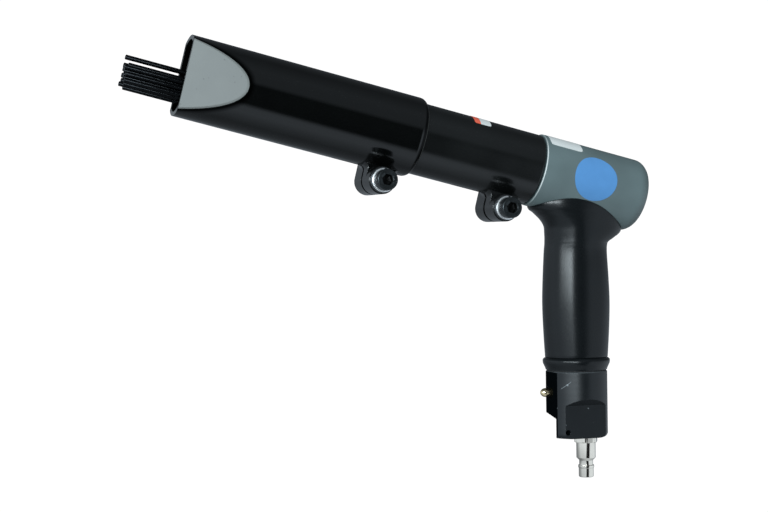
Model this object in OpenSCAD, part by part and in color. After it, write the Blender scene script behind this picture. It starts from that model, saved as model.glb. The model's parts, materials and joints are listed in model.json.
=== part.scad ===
// Pistol grip needle scaler: nozzle tubes, needles, percussion set, handle and air valve.
// The barrel runs along X with the mouth at -X; the handle axis crosses it and leans back.
// The origin is the middle of the grip, on the handle axis.

/* [Barrel] */
// Outside diameter of the front tube
front_tube_d = 50; // [49:0.5:52]
// Length of the front tube
front_tube_len = 151; // [142:1:162]
// How far the front tube's mouth lies in front of the handle axis
mouth_reach = 260; // [252:1:268]
// Outside diameter of the middle tube
middle_tube_d = 44.6; // [44.2:0.1:45.4]
// Length of the middle tube
middle_tube_len = 136; // [132:1:140]
// Diameter of the grey housing
housing_d = 46.4; // [45.6:0.2:47.2]
// Length of the grey housing behind the middle tube
housing_len = 74.2; // [70:0.2:80]
// Rounding of the housing's rear edge
housing_round = 8.5; // [5:0.5:10]

/* [Nozzle mouth] */
// Length of the two sloping flats
flat_len = 35; // [28:1:42]
// Width across the flats at the mouth
mouth_w = 28; // [26:0.5:32]

/* [Clamps] */
// Diameter of the round clamp lugs
lug_d = 17; // [16:0.5:18]
// Width of the clamp lugs across the tool
lug_w = 32; // [28:1:36]
// Drop of the screw axis below the tube's skin
lug_drop = 7.3; // [6.8:0.1:8]
// Width of the clamping slit
slit_w = 2.5; // [1.5:0.5:3]
// Thread diameter of the clamp screws
screw_d = 8; // [7:0.5:8]

/* [Needles] */
// Diameter of a needle
needle_d = 3; // [2.4:0.1:3]
// How far the needles stand out of the mouth
needle_reach = 34; // [24:1:40]
// Height that the loose top needle is lifted by
needle_lift = 2.6; // [0:0.2:3]

/* [Handle] */
// Backward lean of the handle, in degrees
rake = 14.28; // [12:0.01:17]
// Distance from the barrel axis down to the middle of the grip
grip_drop = 72; // [66:1:78]
// Squareness of the grip's section, where 2 is an ellipse
grip_power = 2.2; // [2:0.1:2.6]

/* [Valve block] */
// Diameter of the valve block
block_d = 39.2; // [38.4:0.2:40]
// Width across the wrench flats
wrench_w = 27.8; // [27:0.2:29]
// Diameter of the lever pivot hole
pivot_d = 3.5; // [2.5:0.1:3.6]
// Throttle travel
throttle_travel = 3; // [2:0.5:3]

/* [Air plug] */
// Width across the plug's hexagon
plug_hex_w = 14; // [13:0.5:15]
// Distance of the plug behind the handle axis
plug_off = 6; // [5.5:0.1:6.5]

/* [Hidden] */
$fn = 64;

// Fits and small common sizes
slide_gap = 0.06;
seat_gap = 0.05;
over = 1;
far = 80;

// Colours as seen
black = [0.09, 0.1, 0.105];
black_satin = [0.13, 0.14, 0.15];
grey = [0.41, 0.46, 0.47];
steel = [0.62, 0.63, 0.65];
dark_steel = [0.2, 0.2, 0.21];
nickel = [0.82, 0.82, 0.8];
brass = [0.8, 0.62, 0.3];
rubber = [0.05, 0.05, 0.05];

// Front tube, which slides on the middle tube
front_r = front_tube_d / 2;
middle_r = middle_tube_d / 2;
front_bore_r = middle_r + slide_gap;
front_wall = front_r - front_bore_r;
mouth_x = -mouth_reach;
front_rear_x = mouth_x + front_tube_len;
front_round = 4.5;
front_lug_inset = 20;
front_lug_x = front_rear_x - front_lug_inset;
flat_angle = atan((front_r - mouth_w / 2) / flat_len);

// Middle tube, clamped on the housing's spigot
middle_rear_x = -30;
middle_front_x = middle_rear_x - middle_tube_len;
spigot_r = 20;
middle_bore_r = spigot_r + seat_gap;
middle_round = 1;
middle_lug_inset = 17.2;
middle_lug_x = middle_rear_x - middle_lug_inset;

// Clamp lugs and their fasteners
lug_r = lug_d / 2;
neck_fillet = 3;
neck_fillet_step = 15;
neck_near_y = -9;
lug_root_share = 0.4;
slit_len = 50;
screw_r = screw_d / 2;
screw_clear = 0.5;
screw_head_r = screw_d * 13 / 16;
screw_head_h = screw_d;
screw_head_chamfer = 0.8;
screw_socket_w = 6;
screw_socket_h = 4.5;
screw_end_inset = 2;
washer_r = 8;
washer_h = 1.6;
washer_clear = 0.3;
spring_washer_r = 7.4;
spring_washer_h = 2.2;
spring_washer_split = 1.6;
spring_washer_slant = 25;
near_y = -lug_w / 2;

// Housing
housing_r = housing_d / 2;
housing_front_x = -29.4;
housing_chamfer = 0.5;
spigot_front_x = -64;
barrel_bore_r = 17.05;
valve_rear_x = -8;
chamber_r = 10;
chamber_rear_x = 12;
air_passage_r = 5;

// Percussion set
cylinder_r = 17;
cylinder_bore_r = 12.5;
cylinder_front_x = -112;
cylinder_rear_x = -28;
exhaust_r = 2;
exhaust_x = -88;
bush_flange_h = 3;
bush_len = 12;
hammer_front_x = -68;
hammer_rear_x = -30;
hammer_chamfer = 1.2;
anvil_r = 8;
anvil_tail_x = -96;
anvil_head_r = 18;
anvil_head_h = 7.5;
anvil_gap = 0.5;
anvil_chamfer = 1;
anvil_back_x = cylinder_front_x - bush_flange_h - anvil_gap;
anvil_front_x = anvil_back_x - anvil_head_h;

// Flutter valve behind the cylinder
valve_r = 16.9;
seat_plate_rear_x = -20;
valve_disc_r = 9;
valve_disc_h = 1.6;
valve_disc_gap = 0.1;
valve_travel = 0.8;
valve_cavity_r = valve_disc_r + 0.5;
valve_cavity_h = valve_disc_h + valve_travel + 2 * valve_disc_gap;
valve_port_r = 1.6;
valve_port_ring_r = 6;
valve_port_count = 6;
dowel_r = 1;
dowel_ring_r = 14.8;
dowel_len = 22;
dowel_front_x = -32;

// Needle holder, spring and stop ring
holder_r = 19.7;
holder_h = 11.7;
holder_front_x = anvil_front_x - holder_h;
needle_r = needle_d / 2;
needle_head_lip = 0.7;
needle_head_r = needle_r + needle_head_lip;
needle_head_h = 2;
needle_head_gap = 0.1;
needle_hole_clear = 0.12;
stop_ring_h = 4;
stop_ring_bore_r = 16.2;
stop_ring_rear_x = middle_front_x + stop_ring_h;
return_wire_r = 1.3;
return_coil_r = 17.7;
return_turns = 5;

// Needle rows: five columns, pitched wide in the holder and close in the mouth
holder_pitch_y = 4.68;
holder_pitch_z = 5.4;
bundle_pitch_y = 2.75;
bundle_pitch_z = 3.8;
bundle_z = -8.4;
bend_start_x = -168;
bend_end_x = -232;
bend_steps = 7;
needle_tip_x = mouth_x - needle_reach;
needle_tip_spread = 1.5;
needle_tip_chamfer = 0.5;
tip_column_turn = 97;
tip_row_turn = 151;
needle_sides = 10;
needle_cells = [for (i = [-2:2]) for (j = [0:4 - abs(i)]) [i, j - (4 - abs(i)) / 2]];

grip_end_drop = 112.5;
// Handle grip: [drop below the barrel axis, reach to the front, reach to the rear, half width]
grip_stations = [
    [0, 31.5, 31.6, 19.8],
    [15.5, 31.2, 31.6, 19.8],
    [20, 27, 31.6, 19.6],
    [24.2, 22.4, 31.6, 19.3],
    [28.6, 19.5, 31.3, 18.9],
    [33, 19.1, 30.2, 18.6],
    [36.5, 19, 25.6, 18.4],
    [38.8, 19.1, 21.8, 18.3],
    [40.6, 19.2, 20.7, 18.2],
    [46, 19.8, 20.4, 18],
    [62, 20.7, 21.3, 18.5],
    [78, 21.2, 21.8, 18.8],
    [96, 20.6, 21.1, 18.8],
    [grip_end_drop, 19.6, 19.9, 18.6]
];
grip_steps = 3;
grip_sides = 40;
grip_bore_r = 9.3;
saddle_r = housing_r + seat_gap;

// Ring, gasket and air tube between grip and valve block
ring_end_drop = 120.2;
ring_profile = [
    [20.4, grip_end_drop],
    [21.4, 114],
    [21.3, 116],
    [20.2, 118.4],
    [19.6, 119.8],
    [19.6, ring_end_drop]
];
gasket_h = 0.7;
gasket_r = 18.9;
tube_r = 9;
tube_bore_r = 5.5;
tube_top_drop = 19;
tube_end_drop = 126.5;

// Valve block
block_r = block_d / 2;
block_top_drop = ring_end_drop + gasket_h;
block_end_drop = 163.4;
block_round = 3;
block_round_step = 15;
block_chamfer = 0.6;
block_profile = concat(
    [[block_r - block_chamfer, block_top_drop], [block_r, block_top_drop + block_chamfer]],
    [
        for (turn = [0:block_round_step:90])
            [block_r - block_round * (1 - cos(turn)), block_end_drop - block_round * (1 - sin(turn))]
    ]
);
front_flat_off = 17.5;
wrench_flat_drop = 142.5;
wrench_slope_drop = 137.4;
relief_turn = 27;
relief_depth = 12.2;
relief_top_drop = 147.6;
relief_flat_drop = 150.8;
pivot_r = pivot_d / 2;
pivot_off = -12;
pivot_drop = 159.2;
pivot_hole_len = 13;
inlet_bore_r = 6.6;
inlet_bore_top_drop = 150.2;
inlet_passage_r = 4;
outlet_passage_r = 2.2;
outlet_off = -5.3;

// Throttle set in the block's cross bore
throttle_drop = 134.5;
throttle_bore_r = 7.05;
throttle_set_r = 7;
pin_r = 2.85;
pin_tip_off = -25;
pin_inner_off = -9;
pin_nose = 3.4;
bush_front_off = -17.45;
bush_rear_off = -11;
seat_front_off = -3;
seat_rear_off = 1;
seat_bore_r = 3.2;
stem_r = 1.9;
poppet_r = 5;
poppet_h = 3.4;
poppet_gap = 0.1;
poppet_tail_r = 2.4;
poppet_tail_h = 1.5;
cap_rear_off = 18.2;
cap_socket_w = 6;
cap_socket_h = 3;
throttle_wire_r = 0.5;
throttle_coil_r = 3.6;
throttle_turns = 4;
spring_spare = 1.1;
spring_seat_off = seat_rear_off + poppet_gap + poppet_h;
cap_front_off = spring_seat_off + throttle_turns * 2 * throttle_wire_r + throttle_travel + spring_spare;

// Strainer and quick coupler plug
strainer_r = 6.5;
strainer_h = 1.7;
strainer_hole_r = 0.8;
strainer_ring_r = 2.3;
strainer_hole_count = 6;
plug_thread_r = inlet_bore_r - seat_gap;
plug_top_drop = inlet_bore_top_drop + strainer_h;
plug_hex_h = 3.8;
plug_bore_r = 2.6;
plug_profile = [
    [6.2, block_end_drop + plug_hex_h],
    [6.2, 177.2],
    [4.45, 178.9],
    [4.45, 181.6],
    [5.1, 181.9],
    [5.1, 183.6],
    [4.8, 183.9],
    [4.8, 189],
    [4.2, 189.6]
];

// Frames of the two main axes
module in_barrel() {
    translate([-grip_drop * sin(rake), 0, grip_drop * cos(rake)])
        children();
}

module in_handle() {
    rotate([0, -rake, 0])
        children();
}

// Height along the handle axis of a point that lies a given drop below the barrel axis
function up(drop) = grip_drop - drop;

// Round bars along each axis
module rod_x(x0, x1, r) {
    translate([x0, 0, 0])
        rotate([0, 90, 0])
            cylinder(h = x1 - x0, r = r);
}

module rod_y(y0, y1, r) {
    translate([0, y0, 0])
        rotate([-90, 0, 0])
            cylinder(h = y1 - y0, r = r);
}

module rod_down(drop0, drop1, r) {
    translate([0, 0, up(drop1)])
        cylinder(h = drop1 - drop0, r = r);
}

module tube_x(x0, x1, r, bore_r) {
    difference() {
        rod_x(x0, x1, r);
        rod_x(x0 - over, x1 + over, bore_r);
    }
}

// Shape turned about X from [x, radius] points
module turned_x(points) {
    rotate([0, 90, 0])
        rotate_extrude()
            polygon([for (p = points) [p[1], p[0]]]);
}

// Bar along X with chamfered edges
module chamfered_rod_x(x0, x1, r, chamfer) {
    turned_x([[x0, 0], [x0, r - chamfer], [x0 + chamfer, r], [x1 - chamfer, r], [x1, r - chamfer], [x1, 0]]);
}

// Bar that stands on Z = 0, with its upper edge rounded
module rounded_rod(r, h, round) {
    rotate_extrude() {
        square([r, h - round]);
        square([r - round, h]);
        translate([r - round, h - round])
            circle(round);
    }
}

// Skin over rings of points, closed at both ends
module skin(rings) {
    n = len(rings[0]);
    last = (len(rings) - 1) * n;
    sides = [
        for (i = [0:len(rings) - 2]) for (j = [0:n - 1])
            each [
                [i * n + j, i * n + (j + 1) % n, (i + 1) * n + (j + 1) % n],
                [i * n + j, (i + 1) * n + (j + 1) % n, (i + 1) * n + j]
            ]
    ];
    start_cap = [for (j = [n - 1:-1:0]) j];
    end_cap = [for (j = [0:n - 1]) last + j];
    polyhedron(
        points = [for (ring = rings) for (p = ring) p],
        faces = concat([start_cap], sides, [end_cap]),
        convexity = 8
    );
}

// Coil of round wire about X, from the rear end towards the front
coil_rings_per_turn = 14;
coil_sides = 6;

function coil_ring(x, turn, coil_r, wire_r) = [
    for (s = [0:coil_sides - 1])
        let (out = coil_r + wire_r * cos(360 * s / coil_sides))
            [x + wire_r * sin(360 * s / coil_sides), out * cos(turn), out * sin(turn)]
];

module coil(x_rear, x_front, coil_r, wire_r, turns) {
    steps = turns * coil_rings_per_turn;
    run = x_rear - x_front - 2 * wire_r - 2 * seat_gap;
    start = x_rear - wire_r - seat_gap;
    skin([
        for (k = [0:steps])
            coil_ring(start - run * k / steps, 360 * k / coil_rings_per_turn, coil_r, wire_r)
    ]);
    echo(least_gap_between_turns = run / turns - 2 * wire_r);
}

// Front tube with its flats and split clamp
module mouth_flats(inset) {
    for (side = [0, 1])
        mirror([0, side, 0])
            translate([mouth_x, -mouth_w / 2, 0])
                rotate([0, 0, -flat_angle])
                    translate([-far / 2, inset - far, -far / 2])
                        cube([2 * far, far, far]);
}

// Flank of a lug's neck that flares into the tube, as [x, radius] points
function neck_flank(skin_r) = [
    for (turn = [0:neck_fillet_step:90])
        [lug_r + neck_fillet * (1 - sin(turn)), skin_r + neck_fillet * (1 - cos(turn))]
];

function mirrored(points) = [for (i = [len(points) - 1:-1:0]) [-points[i][0], points[i][1]]];

// Round lug on a neck that stops short of the screw head's side
module clamp_lug(skin_r, x) {
    drop = skin_r + lug_drop;
    flank = concat([[lug_r + neck_fillet, skin_r - over]], neck_flank(skin_r), [[lug_r, drop + lug_r]]);
    translate([x, 0, -drop])
        rod_y(near_y, -near_y, lug_r);
    translate([x, 0, 0])
        intersection() {
            turned_x(concat(flank, mirrored(flank)));
            translate([-far, neck_near_y, -drop])
                cube([2 * far, -near_y - neck_near_y, drop - skin_r * lug_root_share]);
        }
}

module clamp_cuts(skin_r, x, rear_x) {
    translate([x, 0, -skin_r - lug_drop]) {
        rod_y(near_y - over, 0, screw_r + screw_clear);
        rod_y(-over, -near_y + over, screw_r + seat_gap);
    }
    translate([rear_x - slit_len, -slit_w / 2, -skin_r - lug_drop - lug_r - over])
        cube([slit_len + over, slit_w, lug_drop + lug_r + over + skin_r * lug_root_share]);
}

module front_tube() {
    color(black)
        in_barrel()
            difference() {
                union() {
                    translate([mouth_x, 0, 0])
                        rotate([0, 90, 0])
                            rounded_rod(front_r, front_tube_len, front_round);
                    clamp_lug(front_r, front_lug_x);
                }
                mouth_flats(0);
                difference() {
                    rod_x(mouth_x - over, front_rear_x + over, front_bore_r);
                    mouth_flats(front_wall);
                }
                clamp_cuts(front_r, front_lug_x, front_rear_x);
            }
}

module middle_tube() {
    color(black)
        in_barrel()
            difference() {
                union() {
                    translate([middle_front_x, 0, 0])
                        rotate([0, 90, 0])
                            rounded_rod(middle_r, middle_tube_len, middle_round);
                    clamp_lug(middle_r, middle_lug_x);
                }
                rod_x(middle_front_x - over, middle_rear_x + over, middle_bore_r);
                clamp_cuts(middle_r, middle_lug_x, middle_rear_x);
            }
}

// Clamp fasteners, drawn about the screw's axis with the head towards -Y
module on_lug(skin_r, x) {
    in_barrel()
        translate([x, 0, -skin_r - lug_drop])
            children();
}

module ring_y(y0, y1, r, bore_r) {
    difference() {
        rod_y(y0, y1, r);
        rod_y(y0 - over, y1 + over, bore_r);
    }
}

module clamp_washer() {
    color(dark_steel)
        ring_y(near_y - washer_h, near_y, washer_r, screw_r + washer_clear);
}

module spring_washer() {
    y = near_y - washer_h;
    color(nickel)
        difference() {
            ring_y(y - spring_washer_h, y, spring_washer_r, screw_r + washer_clear);
            rotate([0, 0, spring_washer_slant])
                translate([-spring_washer_split / 2, y - far / 2, 0])
                    cube([spring_washer_split, far, far]);
        }
}

module clamp_screw() {
    head_y = near_y - washer_h - spring_washer_h;
    socket_r = screw_socket_w / sqrt(3);
    color(dark_steel)
        difference() {
            union() {
                rod_y(head_y - over, -near_y - screw_end_inset, screw_r);
                translate([0, head_y, 0])
                    rotate([90, 0, 0])
                        rotate_extrude()
                            polygon([
                                [0, 0],
                                [screw_head_r, 0],
                                [screw_head_r, screw_head_h - screw_head_chamfer],
                                [screw_head_r - screw_head_chamfer, screw_head_h],
                                [0, screw_head_h]
                            ]);
            }
            translate([0, head_y - screw_head_h - over, 0])
                rotate([-90, 0, 0])
                    cylinder(h = screw_socket_h + over, r = socket_r, $fn = 6);
        }
}

module front_clamp_screw() {
    on_lug(front_r, front_lug_x)
        clamp_screw();
}

module front_clamp_washer() {
    on_lug(front_r, front_lug_x)
        clamp_washer();
}

module front_spring_washer() {
    on_lug(front_r, front_lug_x)
        spring_washer();
}

module rear_clamp_screw() {
    on_lug(middle_r, middle_lug_x)
        clamp_screw();
}

module rear_clamp_washer() {
    on_lug(middle_r, middle_lug_x)
        clamp_washer();
}

module rear_spring_washer() {
    on_lug(middle_r, middle_lug_x)
        spring_washer();
}

// Grey housing with the spigot for the middle tube and the air way from the handle
module housing_profile() {
    polygon([
        [0, 0],
        [housing_r - housing_chamfer, 0],
        [housing_r, housing_chamfer],
        [housing_r, housing_len - housing_round],
        [0, housing_len - housing_round]
    ]);
    square([housing_r - housing_round, housing_len]);
    translate([housing_r - housing_round, housing_len - housing_round])
        circle(housing_round);
}

module housing() {
    color(grey)
        in_barrel()
            difference() {
                union() {
                    translate([housing_front_x, 0, 0])
                        rotate([0, 90, 0])
                            rotate_extrude()
                                housing_profile();
                    rod_x(spigot_front_x, housing_front_x + over, spigot_r);
                }
                rod_x(spigot_front_x - over, valve_rear_x, barrel_bore_r);
                rod_x(valve_rear_x - over, chamber_rear_x, chamber_r);
                rotate([0, -rake, 0]) {
                    translate([0, 0, -tube_top_drop - over])
                        cylinder(h = tube_top_drop + over, r = air_passage_r);
                    translate([0, 0, -housing_d])
                        cylinder(h = housing_d - tube_top_drop, r = tube_r + seat_gap);
                }
            }
}

// Needles: parallel in the holder, then drawn together and down towards the mouth
function ease(t) = t * t * (3 - 2 * t);

function bend_share(x) = ease(max(0, min(1, (bend_start_x - x) / (bend_start_x - bend_end_x))));

function is_top(cell) = cell[0] == 0 && cell[1] == 2;

function in_holder(cell) = [cell[0] * holder_pitch_y, cell[1] * holder_pitch_z];

function in_bundle(cell) = [
    cell[0] * bundle_pitch_y,
    bundle_z + cell[1] * bundle_pitch_z + (is_top(cell) ? needle_lift : 0)
];

function needle_centre(cell, x) = in_holder(cell) + (in_bundle(cell) - in_holder(cell)) * bend_share(x);

function needle_ring(cell, x, r) =
    let (c = needle_centre(cell, x))
        [for (s = [0:needle_sides - 1])
            [x, c[0] + r * cos(360 * s / needle_sides), c[1] + r * sin(360 * s / needle_sides)]];

module needle(cell) {
    head_x = anvil_front_x - needle_head_gap;
    neck_x = head_x - needle_head_h;
    tip_x = needle_tip_x + needle_tip_spread * sin(tip_column_turn * cell[0] + tip_row_turn * cell[1]);
    skin([
        needle_ring(cell, head_x, needle_head_r),
        needle_ring(cell, neck_x, needle_head_r),
        needle_ring(cell, neck_x, needle_r),
        for (k = [0:bend_steps])
            needle_ring(cell, bend_start_x + (bend_end_x - bend_start_x) * k / bend_steps, needle_r),
        needle_ring(cell, tip_x + needle_tip_chamfer, needle_r),
        needle_ring(cell, tip_x, needle_r - needle_tip_chamfer)
    ]);
}

module needles() {
    color(dark_steel)
        in_barrel()
            for (cell = needle_cells)
                needle(cell);
}

module needle_holder() {
    floor_x = anvil_front_x - needle_head_gap - needle_head_h;
    color(steel)
        in_barrel()
            difference() {
                chamfered_rod_x(holder_front_x, anvil_front_x, holder_r, anvil_chamfer);
                for (cell = needle_cells)
                    translate([0, in_holder(cell)[0], in_holder(cell)[1]]) {
                        rod_x(holder_front_x - over, anvil_front_x + over, needle_r + needle_hole_clear);
                        rod_x(floor_x, anvil_front_x + over, needle_head_r + needle_hole_clear);
                    }
            }
}

module return_spring() {
    color(steel)
        in_barrel()
            coil(holder_front_x, stop_ring_rear_x, return_coil_r, return_wire_r, return_turns);
}

module spring_stop_ring() {
    color(steel)
        in_barrel()
            tube_x(middle_front_x, stop_ring_rear_x, spigot_r, stop_ring_bore_r);
}

// Percussion set
module anvil() {
    color(steel)
        in_barrel()
            union() {
                chamfered_rod_x(anvil_front_x, anvil_back_x, anvil_head_r, anvil_chamfer);
                chamfered_rod_x(anvil_back_x - over, anvil_tail_x, anvil_r, anvil_chamfer);
            }
}

module anvil_bush() {
    color(brass)
        in_barrel()
            difference() {
                union() {
                    rod_x(cylinder_front_x - bush_flange_h, cylinder_front_x, valve_r);
                    rod_x(cylinder_front_x - over, cylinder_front_x + bush_len, cylinder_bore_r - seat_gap);
                }
                rod_x(cylinder_front_x - far, cylinder_front_x + far, anvil_r + seat_gap);
            }
}

module dowel_holes() {
    for (side = [-1, 1])
        translate([0, 0, side * dowel_ring_r])
            rod_x(dowel_front_x, dowel_front_x + dowel_len, dowel_r + seat_gap / 2);
}

module cylinder_sleeve() {
    color(steel)
        in_barrel()
            difference() {
                tube_x(cylinder_front_x, cylinder_rear_x, cylinder_r, cylinder_bore_r);
                for (turn = [0, 90])
                    rotate([turn, 0, 0])
                        translate([exhaust_x, 0, 0])
                            rod_y(-far, far, exhaust_r);
                dowel_holes();
            }
}

module hammer() {
    color(steel)
        in_barrel()
            chamfered_rod_x(hammer_front_x, hammer_rear_x, cylinder_bore_r - seat_gap, hammer_chamfer);
}

// Flutter valve
module valve_ports(x0, x1) {
    for (k = [0:valve_port_count - 1])
        rotate([k * 360 / valve_port_count, 0, 0])
            translate([0, 0, valve_port_ring_r])
                rod_x(x0 - over, x1 + over, valve_port_r);
}

module valve_seat_plate() {
    color(steel)
        in_barrel()
            difference() {
                rod_x(cylinder_rear_x, seat_plate_rear_x, valve_r);
                valve_ports(cylinder_rear_x, seat_plate_rear_x);
                dowel_holes();
            }
}

module valve_disc() {
    color(steel)
        in_barrel()
            rod_x(
                seat_plate_rear_x + valve_disc_gap,
                seat_plate_rear_x + valve_disc_gap + valve_disc_h,
                valve_disc_r
            );
}

module valve_box() {
    color(steel)
        in_barrel()
            difference() {
                rod_x(seat_plate_rear_x, valve_rear_x, valve_r);
                rod_x(seat_plate_rear_x - over, seat_plate_rear_x + valve_cavity_h, valve_cavity_r);
                valve_ports(seat_plate_rear_x, valve_rear_x);
                dowel_holes();
            }
}

module valve_dowels() {
    color(steel)
        in_barrel()
            for (side = [-1, 1])
                translate([0, 0, side * dowel_ring_r])
                    rod_x(dowel_front_x, dowel_front_x + dowel_len, dowel_r);
}

// Handle grip, lofted through its stations and cut to cradle the housing
function station(i) = grip_stations[max(0, min(len(grip_stations) - 1, i))];

function spline(a, b, c, d, t) =
    (2 * b + (c - a) * t + (2 * a - 5 * b + 4 * c - d) * t * t + (3 * b - a - 3 * c + d) * t * t * t) / 2;

function section_power(v) = sign(v) * pow(abs(v), 2 / grip_power);

function grip_section(s) = [
    for (k = [0:grip_sides - 1])
        let (turn = 360 * k / grip_sides)
            [
                section_power(cos(turn)) * (cos(turn) < 0 ? s[1] : s[2]),
                section_power(sin(turn)) * s[3],
                up(s[0])
            ]
];

grip_rings = [
    for (i = [0:len(grip_stations) - 2]) for (k = [0:grip_steps - 1])
        grip_section(spline(station(i - 1), station(i), station(i + 1), station(i + 2), k / grip_steps)),
    grip_section(grip_stations[len(grip_stations) - 1])
];

module handle_grip() {
    color(black_satin)
        difference() {
            in_handle()
                skin(grip_rings);
            in_barrel()
                rod_x(-far, far, saddle_r);
            in_handle()
                rod_down(0, grip_end_drop + over, grip_bore_r);
        }
}

// Shape turned about the handle axis from [radius, drop] points, bored through
module turned_down(profile, bore_r) {
    first = profile[0][1];
    last = profile[len(profile) - 1][1];
    rotate_extrude()
        polygon(concat(
            [[bore_r, up(first)]],
            [for (p = profile) [p[0], up(p[1])]],
            [[bore_r, up(last)]]
        ));
}

module grip_ring() {
    color(black_satin)
        in_handle()
            turned_down(ring_profile, grip_bore_r);
}

module air_tube() {
    color(steel)
        in_handle()
            difference() {
                rod_down(tube_top_drop, tube_end_drop, tube_r);
                rod_down(tube_top_drop - over, tube_end_drop + over, tube_bore_r);
            }
}

module block_gasket() {
    color(rubber)
        in_handle()
            difference() {
                rod_down(ring_end_drop, block_top_drop, gasket_r);
                rod_down(ring_end_drop - over, block_top_drop + over, grip_bore_r);
            }
}

// Cutter that leaves a flat at a given depth, with a sloping shoulder above it; it cuts towards -X
module shouldered_cut(depth, slope_drop, flat_drop) {
    rim = block_r + over;
    rotate([90, 0, 0])
        translate([0, 0, -far / 2])
            linear_extrude(far)
                polygon([
                    [-rim, up(slope_drop)],
                    [-depth, up(flat_drop)],
                    [-depth, up(block_end_drop + over)],
                    [-far, up(block_end_drop + over)],
                    [-far, up(slope_drop)]
                ]);
}

module valve_block() {
    color(black_satin)
        in_handle()
            difference() {
                turned_down(block_profile, 0);
                translate([-front_flat_off - far, -far / 2, -2 * far])
                    cube([far, far, 4 * far]);
                for (turn = [90, -90])
                    rotate([0, 0, turn])
                        shouldered_cut(wrench_w / 2, wrench_slope_drop, wrench_flat_drop);
                rotate([0, 0, -relief_turn])
                    shouldered_cut(relief_depth, relief_top_drop, relief_flat_drop);
                translate([pivot_off, 0, up(pivot_drop)])
                    rod_y(-far, -wrench_w / 2 + pivot_hole_len, pivot_r);
                rod_down(block_top_drop - over, tube_end_drop, tube_r + seat_gap);
                translate([0, 0, up(throttle_drop)])
                    rod_x(-far, far, throttle_bore_r);
                translate([outlet_off, 0, 0])
                    rod_down(tube_end_drop - over, throttle_drop, outlet_passage_r);
                translate([plug_off, 0, 0]) {
                    rod_down(throttle_drop, inlet_bore_top_drop + over, inlet_passage_r);
                    rod_down(inlet_bore_top_drop, block_end_drop + over, inlet_bore_r);
                }
            }
}

// Throttle set: pin and poppet move together to the rear
module on_throttle() {
    in_handle()
        translate([0, 0, up(throttle_drop)])
            children();
}

module throttle_pin() {
    color(brass)
        on_throttle()
            rotate([0, 90, 0])
                rotate_extrude() {
                    translate([0, pin_tip_off + pin_nose])
                        square([pin_r, pin_inner_off - pin_tip_off - pin_nose]);
                    intersection() {
                        translate([pin_r - nose_arc_r(), pin_tip_off + pin_nose])
                            circle(nose_arc_r());
                        translate([0, pin_tip_off])
                            square([pin_r, pin_nose + over]);
                    }
                }
}

// Radius of the arc that runs from the pin's side to a point on its axis over the nose length
function nose_arc_r() = (pin_r * pin_r + pin_nose * pin_nose) / (2 * pin_r);

module throttle_bush() {
    color(dark_steel)
        on_throttle()
            tube_x(bush_front_off, bush_rear_off, throttle_set_r, pin_r + seat_gap);
}

module throttle_seat() {
    color(brass)
        on_throttle()
            tube_x(seat_front_off, seat_rear_off, throttle_set_r, seat_bore_r);
}

module throttle_valve() {
    head_off = seat_rear_off + poppet_gap;
    color(steel)
        on_throttle()
            union() {
                rod_x(pin_inner_off, head_off + over, stem_r);
                rod_x(head_off, head_off + poppet_h, poppet_r);
                rod_x(head_off, head_off + poppet_h + poppet_tail_h, poppet_tail_r);
            }
}

module throttle_spring() {
    color(steel)
        on_throttle()
            coil(cap_front_off, spring_seat_off, throttle_coil_r, throttle_wire_r, throttle_turns);
}

module throttle_cap() {
    color(dark_steel)
        on_throttle()
            difference() {
                rod_x(cap_front_off, cap_rear_off, throttle_set_r);
                translate([cap_rear_off - cap_socket_h, 0, 0])
                    rotate([0, 90, 0])
                        cylinder(h = cap_socket_h + over, r = cap_socket_w / sqrt(3), $fn = 6);
            }
}

module inlet_strainer() {
    color(brass)
        in_handle()
            translate([plug_off, 0, 0])
                difference() {
                    rod_down(inlet_bore_top_drop, plug_top_drop, strainer_r);
                    rod_down(inlet_bore_top_drop - over, plug_top_drop + over, strainer_hole_r);
                    for (k = [0:strainer_hole_count - 1])
                        rotate([0, 0, k * 360 / strainer_hole_count])
                            translate([strainer_ring_r, 0, 0])
                                rod_down(inlet_bore_top_drop - over, plug_top_drop + over, strainer_hole_r);
                }
}

module air_plug() {
    color(nickel)
        in_handle()
            translate([plug_off, 0, 0])
                difference() {
                    union() {
                        rod_down(plug_top_drop, block_end_drop, plug_thread_r);
                        translate([0, 0, up(block_end_drop + plug_hex_h)])
                            cylinder(h = plug_hex_h, r = plug_hex_w / sqrt(3), $fn = 6);
                        turned_down(plug_profile, 0);
                    }
                    rod_down(plug_top_drop - over, block_end_drop + far, plug_bore_r);
                }
}

front_tube();
front_clamp_screw();
front_clamp_washer();
front_spring_washer();
middle_tube();
rear_clamp_screw();
rear_clamp_washer();
rear_spring_washer();
housing();
needles();
needle_holder();
return_spring();
spring_stop_ring();
anvil();
anvil_bush();
cylinder_sleeve();
hammer();
valve_seat_plate();
valve_disc();
valve_box();
valve_dowels();
handle_grip();
grip_ring();
air_tube();
block_gasket();
valve_block();
throttle_pin();
throttle_bush();
throttle_seat();
throttle_valve();
throttle_spring();
throttle_cap();
inlet_strainer();
air_plug();
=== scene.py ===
import json
from math import atan2, copysign, cos, hypot, pi, radians, sin, sqrt, tan, tau

import bmesh
import bpy
from bpy.props import FloatProperty, FloatVectorProperty, IntProperty, PointerProperty
from bpy.types import Node, NodeSocket, Operator, Panel, PropertyGroup, Scene
from mathutils import Matrix, Vector


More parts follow.
